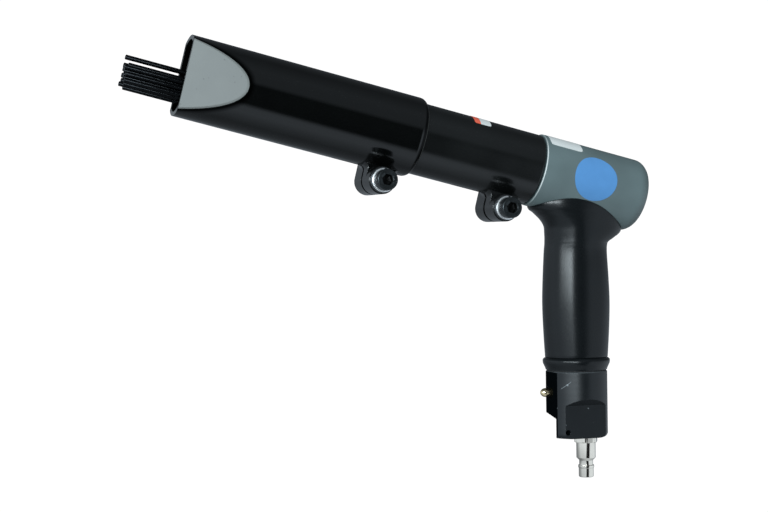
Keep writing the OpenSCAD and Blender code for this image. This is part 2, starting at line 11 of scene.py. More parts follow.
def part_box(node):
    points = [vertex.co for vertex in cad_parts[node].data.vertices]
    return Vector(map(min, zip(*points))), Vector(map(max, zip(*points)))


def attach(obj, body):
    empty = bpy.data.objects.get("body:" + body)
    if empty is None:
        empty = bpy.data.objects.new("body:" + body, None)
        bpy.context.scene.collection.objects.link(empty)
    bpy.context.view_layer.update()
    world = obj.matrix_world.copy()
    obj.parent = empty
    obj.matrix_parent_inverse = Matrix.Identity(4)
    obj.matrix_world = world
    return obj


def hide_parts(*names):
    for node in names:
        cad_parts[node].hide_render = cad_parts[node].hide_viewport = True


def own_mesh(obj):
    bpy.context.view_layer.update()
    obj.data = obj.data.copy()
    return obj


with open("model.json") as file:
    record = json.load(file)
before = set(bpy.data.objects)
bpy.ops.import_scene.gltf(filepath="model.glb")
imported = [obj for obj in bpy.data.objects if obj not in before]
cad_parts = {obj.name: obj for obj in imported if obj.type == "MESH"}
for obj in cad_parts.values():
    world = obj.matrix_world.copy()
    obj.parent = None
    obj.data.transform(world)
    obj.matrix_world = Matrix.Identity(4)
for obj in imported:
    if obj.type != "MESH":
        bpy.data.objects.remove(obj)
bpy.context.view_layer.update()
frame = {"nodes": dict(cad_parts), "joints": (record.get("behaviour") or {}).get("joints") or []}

bl_info = {
    "name": "Needle scaler dressing",
    "version": (1, 0, 0),
    "blender": (4, 5, 0),
    "location": "3D View > Sidebar > Scaler",
    "description": "Finishes, needles, grip shell, labels and studio for a pistol grip needle scaler",
    "category": "Object",
}

MM = 0.001
JOINTS = {joint["name"]: joint for joint in frame["joints"]}

# Barrel: its axis runs along X, and the mouth points to -X
HOUSING_LOW, HOUSING_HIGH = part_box("housing")
FRONT_LOW, FRONT_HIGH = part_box("front_tube")
BARREL_Z = (HOUSING_LOW.z + HOUSING_HIGH.z) / 2
HOUSING_R = HOUSING_HIGH.y
FRONT_R = FRONT_HIGH.y
MIDDLE_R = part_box("middle_tube")[1].y
MOUTH_X = FRONT_LOW.x

# Handle: the throttle pin slides square to the handle axis, straight to the rear
HANDLE_BACK = Vector(JOINTS["throttle_slide"]["axis"]).normalized()
HANDLE_UP = Vector((-HANDLE_BACK.z, 0.0, HANDLE_BACK.x))
CROSSING = HANDLE_UP * (BARREL_Z / HANDLE_UP.z)

# The photograph's viewpoint: place in metres, yaw, pitch and roll in degrees, lens in millimetres
CAMERA_PLACE = (-0.44315, -1.03338, -0.07135)
CAMERA_TURNS = (16.85, 3.46, 12.83)
CAMERA_LENS = 82.09


def linear(code):
    """The linear colour of an sRGB hex value."""
    parts = [int(code[i:i + 2], 16) / 255 for i in (1, 3, 5)]
    return tuple(c / 12.92 if c <= 0.04045 else ((c + 0.055) / 1.055) ** 2.4 for c in parts)


def colour(label, about, code):
    """A colour setting with an sRGB default."""
    tone = linear(code)
    return FloatVectorProperty(name=label, description=about, subtype="COLOR", min=0, max=1, default=tone)


def length(label, about, millimetres, low=0.0):
    """A length setting with its default in millimetres."""
    return FloatProperty(name=label, description=about, unit="LENGTH", min=low, default=millimetres * MM)


def level(label, about, value, unit="NONE"):
    """A setting for the strength of a light."""
    return FloatProperty(name=label, description=about, unit=unit, min=0, default=value)


class ScalerColours(PropertyGroup):
    """Colours of the finishes."""
    enamel: colour("Tube enamel", "Black enamel of the two tubes", "#050606")
    bare_flat: colour("Blasted flat", "Bare flats at the mouth", "#686C6B")
    housing: colour("Housing enamel", "Grey enamel of the housing", "#556466")
    nylon: colour("Grip nylon", "Moulded black grip", "#0F1214")
    anodised: colour("Anodised block", "Black anodised valve block", "#0C1114")
    blue_vinyl: colour("Round label", "Plain round label on the housing", "#5084B9")
    white_vinyl: colour("White label", "Plain white labels", "#C6CBCB")
    red_vinyl: colour("Red field", "Plain field of the small label", "#D8614B")


class ScalerSizes(PropertyGroup):
    """Sizes of the pieces that are modelled here."""
    needle_d: length("Needle diameter", "Diameter of one needle", 3.0)
    needle_chamfer: length("Needle tip edge", "Worn edge at a needle's tip", 0.45)
    needle_sides: IntProperty(name="Needle sides", description="Sides of a needle", min=8, default=20)
    grip_edge: length("Grip edge", "Rounding of the grip's moulded edges", 0.6)
    grip_bore: length("Grip bore", "Bore of the grip for the air tube", 18.6)
    grip_power: FloatProperty(
        name="Grip squareness", description="2 is an ellipse", min=2, max=4, default=2.2,
    )
    mouth_w: length("Mouth width", "Width across the flats at the mouth", 28.0)
    flat_len: length("Flat length", "Length of the two flats", 35.0)
    flat_border: length("Flat border", "How far the ground flats run out on the round tube", 1.3)
    housing_len: length("Housing length", "Length of the grey part of the housing", 74.2)
    holder_pitch_y: length("Holder pitch across", "Needle spacing across, in the holder", 4.68)
    holder_pitch_z: length("Holder pitch in height", "Needle spacing in height, in the holder", 5.4)
    bundle_pitch_y: length("Bundle pitch across", "Needle spacing across, in the mouth", 2.75)
    bundle_pitch_z: length("Bundle pitch in height", "Needle spacing in height, in the mouth", 3.8)
    bundle_drop: length("Bundle drop", "How far the bundle lies below the barrel axis", 8.4)
    needle_lift: length("Loose needle", "How far the top needle stands up", 2.6)
    needle_reach: length("Needle reach", "How far the needles stand out of the mouth", 34.0)
    tip_spread: length("Tip spread", "Unevenness of the needle tips", 1.5)
    bend_start: length("Bend start", "Where the needles begin to close up, ahead of the handle axis", 168.0)
    bend_end: length("Bend end", "Where they run together, ahead of the handle axis", 232.0)
    socket_w: length("Socket width", "Width across the screws' hexagon sockets", 6.0)
    socket_h: length("Socket depth", "Depth of the hexagon sockets", 4.5)
    screw_edge: length("Screw edge", "Rounding of the screw heads", 0.8)
    knurl_depth: length("Knurl depth", "Depth of the knurl on the screw heads", 0.16)
    slit_w: length("Clamp slit", "Width of the slits in the two clamps", 2.5)
    washer_d: length("Washer diameter", "Diameter of the spring washers", 14.8)
    washer_bore: length("Washer bore", "Bore of the spring washers", 8.6)
    washer_slit: length("Washer slit", "Width of the spring washers' slit", 1.6)
    washer_edge: length("Washer edge", "Rounding of the spring washers' edges", 0.2)
    washer_lean: FloatProperty(
        name="Slit lean", description="Slant of the spring washers' slit",
        subtype="ANGLE", default=radians(25),
    )
    block_top: length("Block top", "Drop of the block's top below the barrel axis", 120.9)
    front_flat: length("Front flat", "Front flat's distance from the handle axis", 17.5)
    plug_off: length("Plug offset", "How far the plug sits behind the handle axis", 6.0)
    plug_hex: length("Plug hexagon", "Width across the plug's hexagon", 14.0)
    return_coil_d: length("Return coil", "Mean diameter of the return spring", 35.4)
    return_wire_d: length("Return wire", "Wire of the return spring", 2.6)
    throttle_coil_d: length("Throttle coil", "Mean diameter of the throttle spring", 7.2)
    throttle_wire_d: length("Throttle wire", "Wire of the throttle spring", 1.0)
    throttle_spring_len: length("Throttle spring", "Length of the throttle spring at rest", 8.1)
    spring_gap: length("Spring gap", "Gap at each end of a spring", 0.1)
    round_label_d: length("Round label", "Diameter of the round label", 29.0)
    round_label_x: length("Round label place", "How far it lies behind the handle axis", 5.0, low=-1)
    tube_label_len: length("Tube label", "Length of the small label on the tube", 11.2)
    tube_label_x: length("Tube label place", "Measured from the handle axis", -72.8, low=-1)
    label_lift: length("Label thickness", "Thickness of the vinyl labels", 0.15)
    soft_edge: length("Edge softness", "Radius that paint and tooling leave on edges", 0.35)


class ScalerStudio(PropertyGroup):
    """Light and floor."""
    floor_z: length("Floor height", "Height of the floor", -750, low=-10)
    key_power: level("Key light", "Power of the front softbox", 24.5, "POWER")
    top_power: level("Top light", "Power of the overhead softbox", 6.0, "POWER")
    room_light: level("Room light", "Brightness of the white tent", 0.33)
    wall_gloss: level("Walls in gloss", "Brightness of the side walls in gloss", 0.86)
    roof_gloss: level("Roof in gloss", "Brightness of the roof in gloss", 0.25)
    floor_gloss: level("Ground in gloss", "Brightness of the ground in gloss", 0.65)


def settings():
    """The three groups of settings."""
    scene = bpy.context.scene
    return scene.scaler_colours, scene.scaler_sizes, scene.scaler_studio


def add(tree, kind, *values, named=None, **options):
    """Adds a node with its options; values fill its inputs in order or by name, and None keeps a default.

    The kind of a maths node names its operation too, and that of a mix node its data type. A value is
    a constant, a socket to link, or a node whose first output in use is linked.
    """
    kind, *choice = kind.split()
    node = tree.nodes.new("ShaderNode" + kind)
    if choice:
        setattr(node, "data_type" if kind == "Mix" else "operation", choice[0])
    for name, value in options.items():
        setattr(node, name, value)
    given = list(zip([socket for socket in node.inputs if socket.enabled], values))
    given += [(node.inputs[name], value) for name, value in (named or {}).items()]
    for socket, value in given:
        if isinstance(value, Node):
            value = next(output for output in value.outputs if output.enabled)
        if isinstance(value, NodeSocket):
            tree.links.new(value, socket)
        elif value is not None:
            socket.default_value = value
    return node


def per_metre(millimetres):
    """Texture scale for a pattern of that size."""
    return 1.0 / (millimetres * MM)


def shade(value, factor=1.0):
    """A colour with full alpha, made lighter or darker."""
    return (*(min(1.0, c * factor) for c in value[:3]), 1.0)


def made_once(builder):
    """The material whose shader inputs a function describes, made the first time it is asked for."""
    made = bpy.data.materials.get(builder.__name__)
    if not made:
        made = bpy.data.materials.new(builder.__name__)
        made.use_nodes = True
        tree = made.node_tree
        tree.nodes.clear()
        place = add(tree, "TexCoord").outputs["Object"]
        add(tree, "OutputMaterial", add(tree, "BsdfPrincipled", named=builder(tree, place)))
    return made


def soft_normal(tree, height, depth_mm, edge_share=1.0):
    """Normal with edges softened by paint or tooling, and a relief of the given depth."""
    softened = add(tree, "Bevel", settings()[1].soft_edge * edge_share, samples=6)
    return add(tree, "Bump", named={"Height": height, "Distance": depth_mm * MM, "Normal": softened})


def clouded(tree, place, tone, patch_mm, contrast=0.3, detail=2.0):
    """A tone that soft patches lighten and darken; returns it with the patches."""
    cloud = add(tree, "TexNoise", place, per_metre(patch_mm), detail)
    tint = add(tree, "Mix RGBA", cloud, shade(tone, 1 - contrast), shade(tone, 1 + contrast))
    return tint, cloud


def stoved(tree, place, paint, patch_mm):
    """Tint, cloudiness and orange peel of stoved enamel."""
    peel_mm = 1.1
    return *clouded(tree, place, paint, patch_mm), add(tree, "TexNoise", place, per_metre(peel_mm))


def barrel_radius(tree, place):
    """Distance from the barrel axis."""
    across = add(tree, "VectorMath MULTIPLY_ADD", place, (0, 1, 1), (0, 0, -BARREL_Z))
    return add(tree, "VectorMath LENGTH", across)


def slit_shade_mask(tree, place, skin_r):
    """Mask for painted shade: 1 on the two faces of a clamp's slit, 0 elsewhere."""
    across = add(tree, "Math ABSOLUTE", add(tree, "SeparateXYZ", place).outputs["Y"])
    slit_shade = add(tree, "Math COMPARE", across, settings()[1].slit_w / 2, 0.06 * MM)
    below = add(tree, "Math GREATER_THAN", barrel_radius(tree, place), skin_r + 0.4 * MM)
    return add(tree, "Math MULTIPLY", slit_shade, below)


def black_enamel(tree, place):
    """Stoved black enamel on the middle tube."""
    # Deep black with a hazy mirror sheen, handled a little duller than the front tube
    enamel = settings()[0].enamel
    tint, cloud, peel = stoved(tree, place, shade(enamel, 2.0), 22)
    # Painted shade: the faces of the clamp's slit are made near black and without gloss
    slit_shade = slit_shade_mask(tree, place, MIDDLE_R)
    return {
        "Base Color": add(tree, "Mix RGBA", slit_shade, tint, shade(enamel, 0.3)),
        "Roughness": add(tree, "Math MULTIPLY_ADD", cloud, 0.1, 0.15),
        "Specular IOR Level": add(tree, "MapRange", slit_shade, 0, 1, 0.5, 0.03),
        "Normal": soft_normal(tree, peel, 0.010, 2.0),
    }


def enamel_with_bare_flats(tree, place):
    """Black enamel with the mouth's two flats ground bare and blasted."""
    # Mirror black tube; the ground flats are pale and matt, and the paint ends in a slightly ragged line
    # a little outside them; round that runs a border of painted shade, dark and without gloss
    colours, sizes, _ = settings()
    tint, cloud, peel = stoved(tree, place, colours.enamel, 22)
    grit = add(tree, "TexNoise", place, per_metre(0.5), 3.0)
    x, y, z = add(tree, "SeparateXYZ", place).outputs
    # Distance from the nearer flat, along the round skin
    behind_mouth = add(tree, "Math SUBTRACT", x, MOUTH_X)
    across = add(tree, "Math ABSOLUTE", y)
    slope = (FRONT_R - sizes.mouth_w / 2) / sizes.flat_len
    flat_y = add(tree, "Math MULTIPLY_ADD", behind_mouth, slope, sizes.mouth_w / 2)
    under_flat = add(tree, "Math SUBTRACT", flat_y, across)
    height = add(tree, "Math SUBTRACT", z, BARREL_Z)
    rise = add(tree, "Math DIVIDE", height, FRONT_R)
    steep = add(tree, "Math MULTIPLY_ADD", rise, rise, slope * slope)
    falling = add(tree, "Math SQRT", steep)
    from_flat = add(tree, "Math DIVIDE", under_flat, falling)
    # Bare metal with a few dark pits, and a border of painted shade round it
    ragged = add(tree, "Math MULTIPLY_ADD", grit, 0.5 * MM, from_flat)
    reach = sizes.flat_border
    bare = add(tree, "MapRange", ragged, reach, reach + 0.4 * MM, 1, 0)
    beside = add(tree, "MapRange", from_flat, reach * 2, reach * 4, 1, 0)
    shaded_border = add(tree, "Math SUBTRACT", beside, bare, use_clamp=True)
    pale, dark = shade(colours.bare_flat, 0.9), shade(colours.bare_flat, 0.3)
    worn = add(tree, "Mix RGBA", cloud, pale, shade(colours.bare_flat, 1.1))
    pits = add(tree, "TexNoise", place, per_metre(2.4), 1.0)
    speck = add(tree, "MapRange", pits, 0.74, 0.77, 0, 0.4)
    blasted = add(tree, "Mix RGBA", speck, worn, dark)
    coated = add(tree, "Mix RGBA", bare, tint, blasted)
    # Thin painted highlights in steel colour at the mouth's rim and at the rear end; painted shade, dark and
    # without gloss, on the slit, the border and the rear shoulder
    rim_highlight_steel = shade(colours.bare_flat)
    # Painted highlight: a thin steel coloured line at the mouth's rim
    mouth_rim_highlight = add(tree, "MapRange", behind_mouth, 0.05 * MM, 0.3 * MM, 0.5, 0)
    with_rim_highlight = add(tree, "Mix RGBA", mouth_rim_highlight, coated, rim_highlight_steel)
    end_x = FRONT_HIGH.x
    # Painted shade: the rear shoulder loses its gloss and darkens
    shoulder_shade = add(tree, "MapRange", x, end_x - 3.5 * MM, end_x - 2.5 * MM, 0, 0.92)
    outside = add(tree, "Math MAXIMUM", shaded_border, shoulder_shade)
    painted_shade = add(tree, "Math MAXIMUM", slit_shade_mask(tree, place, FRONT_R), outside)
    with_painted_shade = add(tree, "Mix RGBA", painted_shade, with_rim_highlight, shade(colours.enamel, 0.3))
    # Painted highlight: a thin steel coloured line at the tube's rear end
    rear_rim_highlight = add(tree, "MapRange", x, end_x - 1.0 * MM, end_x - 0.6 * MM, 0, 0.4)
    return {
        "Base Color": add(tree, "Mix RGBA", rear_rim_highlight, with_painted_shade, rim_highlight_steel),
        "Roughness": add(tree, "MapRange", bare, 0, 1, 0.13, 0.6),
        "Specular IOR Level": add(tree, "MapRange", painted_shade, 0, 1, 0.5, 0.03),
        "Normal": soft_normal(tree, peel, 0.008, 2.0),
    }


def grey_enamel(tree, place):
    """Grey satin enamel on the cast housing."""
    # Cool grey with a silky sheen; a thin painted highlight runs along its front edge, brightest in the
    # middle
    colours, sizes, _ = settings()
    tint, cloud, peel = stoved(tree, place, colours.housing, 30)
    x, _, z = add(tree, "SeparateXYZ", place).outputs
    front = HOUSING_HIGH.x - sizes.housing_len
    # Painted highlight: a pale line on the front edge, fading towards top and bottom
    at_front = add(tree, "MapRange", x, front + 0.3 * MM, front + 0.6 * MM, 1, 0)
    skin = barrel_radius(tree, place)
    outside = add(tree, "MapRange", skin, HOUSING_R - 0.8 * MM, HOUSING_R - 0.5 * MM)
    height = add(tree, "Math SUBTRACT", z, BARREL_Z)
    from_middle = add(tree, "Math ABSOLUTE", height)
    fading = add(tree, "MapRange", from_middle, HOUSING_R * 0.45, HOUSING_R * 0.95, 1, 0.15)
    edge = add(tree, "Math MULTIPLY", at_front, outside)
    front_edge_highlight = add(tree, "Math MULTIPLY", edge, fading)
    return {
        "Base Color": add(tree, "Mix RGBA", front_edge_highlight, tint, shade(linear("#BEC4C4"))),
        "Roughness": add(tree, "Math MULTIPLY_ADD", cloud, 0.2, 0.3),
        "Normal": soft_normal(tree, peel, 0.014),
    }


def moulded_nylon(tree, place):
    """Glass filled nylon, moulded in a spark eroded tool."""
    # Nearly black and satin: the fine moulded grain spreads the highlight into a soft upright band
    grain = add(tree, "TexNoise", place, per_metre(0.7), 3.0)
    return {
        "Base Color": clouded(tree, place, settings()[0].nylon, 16)[0],
        "Roughness": add(tree, "Math MULTIPLY_ADD", grain, 0.2, 0.14),
        "Specular IOR Level": 0.27,
        "Normal": soft_normal(tree, grain, 0.012),
    }


def black_anodised(tree, place):
    """Turned and milled aluminium, anodised black."""
    # Dark, bluish and a little metallic, with faint lathe rings, a painted highlight along the top edge,
    # painted shade on the milled front flat, which is made darker and without gloss, and one pale scratch
    # that cuts through the dye
    colours, sizes, _ = settings()
    tint, cloud = clouded(tree, place, colours.anodised, 14, 0.25)
    upright = add(tree, "Mapping", place, None, (0, atan2(HANDLE_BACK.z, HANDLE_BACK.x), 0))
    # The wave node counts 20 radians to a unit, so the rings lie 3.8 mm apart, coarse enough to show
    ring_scale = per_metre(0.6) / 20
    rings = add(tree, "TexWave", upright, ring_scale, 0.6, 1.0, wave_type="BANDS", bands_direction="Z")
    x, y, z = add(tree, "SeparateXYZ", upright).outputs
    # The scratch on the near wrench flat: its line, its middle and half its length, and a few nicks
    slant = add(tree, "Math MULTIPLY_ADD", x, -0.92, z)
    stroke = add(tree, "Math COMPARE", slant, -45.1 * MM, 0.16 * MM)
    stretch = add(tree, "Math COMPARE", x, -13.2 * MM, 2.5 * MM)
    near_side = add(tree, "Math LESS_THAN", y, 0)
    kept = add(tree, "Math MULTIPLY", stretch, near_side)
    nicks = add(tree, "Math GREATER_THAN", add(tree, "TexNoise", place, per_metre(1.6), 1.0), 0.78)
    scratch = add(tree, "Math MULTIPLY_ADD", stroke, kept, nicks)
    top = CROSSING.length - sizes.block_top
    # Painted highlight: the top edge is made paler in the scratch's colour
    top_edge_highlight = add(tree, "MapRange", z, top - 0.8 * MM, top - 0.4 * MM, 0, 0.4)
    scratch_and_highlight = add(tree, "Math MAXIMUM", scratch, top_edge_highlight)
    faint_scratch_and_highlight = add(tree, "Math MULTIPLY", scratch_and_highlight, 0.6)
    # Painted shade: faces in the plane of the front flat are made darker, and neither metallic nor glossy
    shaded_front_flat = add(tree, "Math COMPARE", x, -sizes.front_flat, 0.3 * MM)
    dyed_with_flat_shade = add(tree, "Mix RGBA", shaded_front_flat, tint, shade(colours.anodised, 0.4))
    return {
        "Base Color": add(tree, "Mix RGBA", faint_scratch_and_highlight, dyed_with_flat_shade, shade(linear("#8A9196"))),
        "Roughness": add(tree, "Math MULTIPLY_ADD", cloud, 0.16, 0.26),
        "Metallic": add(tree, "MapRange", shaded_front_flat, 0, 1, 0.2, 0),
        "Specular IOR Level": add(tree, "MapRange", shaded_front_flat, 0, 1, 0.52, 0),
        "Normal": soft_normal(tree, rings, 0.005),
    }


def black_oxide(tree, place):
    """Blackened screw steel."""
    # Dark grey with an oily metallic glint; painted shade makes the clamp screws' sockets dead black and
    # nearly without gloss
    sizes = settings()[1]
    tint, cloud = clouded(tree, place, linear("#282C2E"), 4, detail=3.0)
    screws = [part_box(node) for node in ("front_clamp_screw", "rear_clamp_screw")]
    beside = add(tree, "VectorMath MULTIPLY", place, (1, 0, 1))
    apart = [
        add(tree, "VectorMath DISTANCE", beside, ((low.x + high.x) / 2, 0, (low.z + high.z) / 2))
        for low, high in screws
    ]
    nearest = add(tree, "Math MINIMUM", *apart)
    within = add(tree, "Math LESS_THAN", nearest, sizes.socket_w * 0.6)
    y = add(tree, "SeparateXYZ", place).outputs["Y"]
    head_y, depth = screws[0][0].y, sizes.socket_h
    sunk = add(tree, "Math COMPARE", y, head_y + depth, depth - 0.2 * MM)
    socket_shade = add(tree, "Math MULTIPLY", within, sunk)
    return {
        "Base Color": add(tree, "Mix RGBA", socket_shade, tint, shade(linear("#060707"))),
        "Roughness": add(tree, "Math MULTIPLY_ADD", cloud, 0.3, 0.15),
        "Metallic": add(tree, "MapRange", socket_shade, 0, 1, 0.7, 0),
        "Specular IOR Level": add(tree, "MapRange", socket_shade, 0, 1, 0.5, 0.1),
        "Normal": soft_normal(tree, cloud, 0.004, 0.5),
    }


def plain(tree, place, code, roughness, metallic, patch_mm, relief_mm, contrast=0.3):
    """A plain stuff with cloudy colour, uneven gloss and fine relief."""
    fine = add(tree, "TexNoise", place, per_metre(patch_mm / 6))
    return {
        "Base Color": clouded(tree, place, linear(code), patch_mm, contrast, 3.0)[0],
        "Roughness": add(tree, "Math MULTIPLY_ADD", fine, roughness, roughness / 2),
        "Metallic": metallic,
        "Normal": soft_normal(tree, fine, relief_mm, 0.5),
    }


def phosphated_steel(tree, place):
    """Phosphated washer steel."""
    # Dark grey and rather dull, so that only its rim catches light
    return plain(tree, place, "#3A3C3E", 0.4, 0.85, 3, 0.004)


def zinc_plate(tree, place):
    """Zinc plated spring steel."""
    # Bright and bluish white
    return plain(tree, place, "#F2F3F3", 0.36, 1.0, 3, 0.003, 0.08)


def oiled_needle_steel(tree, place):
    """Hard drawn needle steel, blackened and oiled."""
    # Black with long grey glints along each needle
    return plain(tree, place, "#101214", 0.22, 0.9, 30, 0.0003, 0.5)


def machined_steel(tree, place):
    """Turned and ground steel of the inner parts."""
    # Plain mid grey metal with a fine ground sheen
    return plain(tree, place, "#A9ABAE", 0.28, 1.0, 6, 0.004, 0.15)


def cast_bronze(tree, place):
    """Bearing bronze."""
    # Brownish yellow and dull
    return plain(tree, place, "#9C7540", 0.38, 1.0, 4, 0.006)


def turned_brass(tree, place):
    """Turned free cutting brass."""
    # Pale yellow with sharp highlights
    return plain(tree, place, "#EBD8AE", 0.2, 1.0, 2.5, 0.003, 0.12)


def bright_nickel(tree, place):
    """Bright nickel plating on the coupler plug."""
    # Mirror like and faintly warm, with slight haze from handling
    return plain(tree, place, "#EDE5D8", 0.12, 1.0, 4, 0.001, 0.06)


def nitrile_rubber(tree, place):
    """Black nitrile sheet."""
    # Dead black and matt, so that the joint reads as a dark seam
    return plain(tree, place, "#08090A", 0.75, 0.0, 2, 0.01)


def vinyl(tree, tint, ripple):
    """Printed vinyl film with a faint ripple from hand laying."""
    return {
        "Base Color": tint,
        "Roughness": add(tree, "Math MULTIPLY_ADD", ripple, 0.2, 0.28),
        "Specular IOR Level": 0.2,
        "Normal": soft_normal(tree, ripple, 0.02, 0.15),
    }


def blue_vinyl(tree, place):
    """Blue film of the round label."""
    # Even mid blue with a soft gloss
    return vinyl(tree, *clouded(tree, place, settings()[0].blue_vinyl, 7, 0.08))


def white_vinyl(tree, place):
    """White film of the housing label."""
    # Slightly greyed white with a soft gloss
    return vinyl(tree, *clouded(tree, place, settings()[0].white_vinyl, 7, 0.08))


def red_and_white_vinyl(tree, place):
    """White film with a red field at its front end."""
    # Two plain printed fields with a crisp line between them
    colours, sizes, _ = settings()
    line_x = CROSSING.x + sizes.tube_label_x - sizes.tube_label_len / 7
    x = add(tree, "SeparateXYZ", place).outputs["X"]
    behind = add(tree, "Math GREATER_THAN", x, line_x)
    fields = add(tree, "Mix RGBA", behind, shade(colours.red_vinyl), shade(colours.white_vinyl))
    return vinyl(tree, fields, add(tree, "TexNoise", place, per_metre(7)))


def matt_white_board(tree, place):
    """Matt white board of the floor."""
    # Pale with very slow, faint patches, and fading out towards its rim
    cloud = add(tree, "TexNoise", place, per_metre(400))
    grey, white = shade(linear("#EEF0F0")), shade(linear("#FAFAFA"))
    from_centre = add(tree, "VectorMath DISTANCE", place, (0, 0, settings()[2].floor_z))
    return {
        "Base Color": add(tree, "Mix RGBA", cloud, grey, white),
        "Roughness": 0.8,
        "Alpha": add(tree, "MapRange", from_centre, 0.4, 0.95, 1, 0),
    }


def new_object(name, data):
    """An object in the scene."""
    made = bpy.data.objects.new(name, data)
    bpy.context.scene.collection.objects.link(made)
    return made


def dress(builder, *names):
    """Gives construction nodes their finish."""
    for name in names:
        mesh = frame["nodes"][name].data
        if not mesh.materials:
            mesh.materials.append(None)
        for index in range(len(mesh.materials)):
            mesh.materials[index] = made_once(builder)


def new_piece(name, bm, builder, body, slot, *stands_for, sharp=35):
    """Closes a mesh, gives it its finish and hangs it on its body."""
    bmesh.ops.remove_doubles(bm, verts=bm.verts, dist=0.0005 * MM)
    bmesh.ops.recalc_face_normals(bm, faces=bm.faces)
    mesh = bpy.data.meshes.new(name)
    bm.to_mesh(mesh)
    bm.free()
    mesh.materials.append(made_once(builder))
    mesh.shade_smooth()
    mesh.set_sharp_from_angle(angle=radians(sharp))
    piece = new_object(name, mesh)
    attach(piece, body)
    if stands_for:
        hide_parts(*stands_for)
    return piece


def loop_edges(bm, loop):
    """The edges that join a closed loop of vertices."""
    return [bm.edges.get(pair) for pair in zip(loop, loop[1:] + loop[:1])]


def loft(bm, segments, rings, hollow=False):
    """Skin through rings, each a function that places a turn angle; a hollow one ends where it starts."""
    loop = bmesh.ops.create_circle(bm, segments=segments, radius=1.0)["verts"]
    turns = [atan2(v.co.y, v.co.x) for v in loop]
    loops = []
    for ring in rings:
        if loops:
            grown = bmesh.ops.extrude_edge_only(bm, edges=loop_edges(bm, loop))["geom"]
            fresh = {g for g in grown if isinstance(g, bmesh.types.BMVert)}
            loop = [next(e.other_vert(v) for e in v.link_edges if e.other_vert(v) in fresh) for v in loop]
        for vertex, turn in zip(loop, turns):
            vertex.co = ring(turn)
        loops.append(loop)
    if hollow:
        bmesh.ops.bridge_loops(bm, edges=loop_edges(bm, loops[0]) + loop_edges(bm, loops[-1]))
    return loops


def in_barrel(x, y, z):
    """Place of a point given from where the axes cross, along the barrel."""
    return CROSSING + Vector((x, y, z))


def in_handle(off, y, drop):
    """Place of a point behind the handle axis, a given drop below the barrel axis."""
    return CROSSING - HANDLE_UP * drop + HANDLE_BACK * off + Vector((0.0, y, 0.0))


def handle_ring(radius_mm, drop_mm, off=0.0):
    """A round ring square to the handle axis."""
    radius = radius_mm * MM
    return lambda turn: in_handle(off + radius * cos(turn), radius * sin(turn), drop_mm * MM)


def rounded(value, power):
    """One coordinate of a superellipse."""
    return copysign(abs(value) ** (2 / power), value)


def hexagon(turn, apothem):
    """Radius of a hexagon with corners at 0, 60, 120 degrees and so on."""
    sixth = pi / 3
    return apothem / cos(turn % sixth - sixth / 2)


class SCALER_OT_tubes(Operator):
    """Enamels the front and middle tubes"""
    bl_idname = "scaler.tubes"
    bl_label = "Tubes"

    def execute(self, context):
        dress(enamel_with_bare_flats, "front_tube")
        dress(black_enamel, "middle_tube")
        return {"FINISHED"}


class SCALER_OT_housing(Operator):
    """Enamels the housing"""
    bl_idname = "scaler.housing"
    bl_label = "Housing"

    def execute(self, context):
        dress(grey_enamel, "housing")
        return {"FINISHED"}


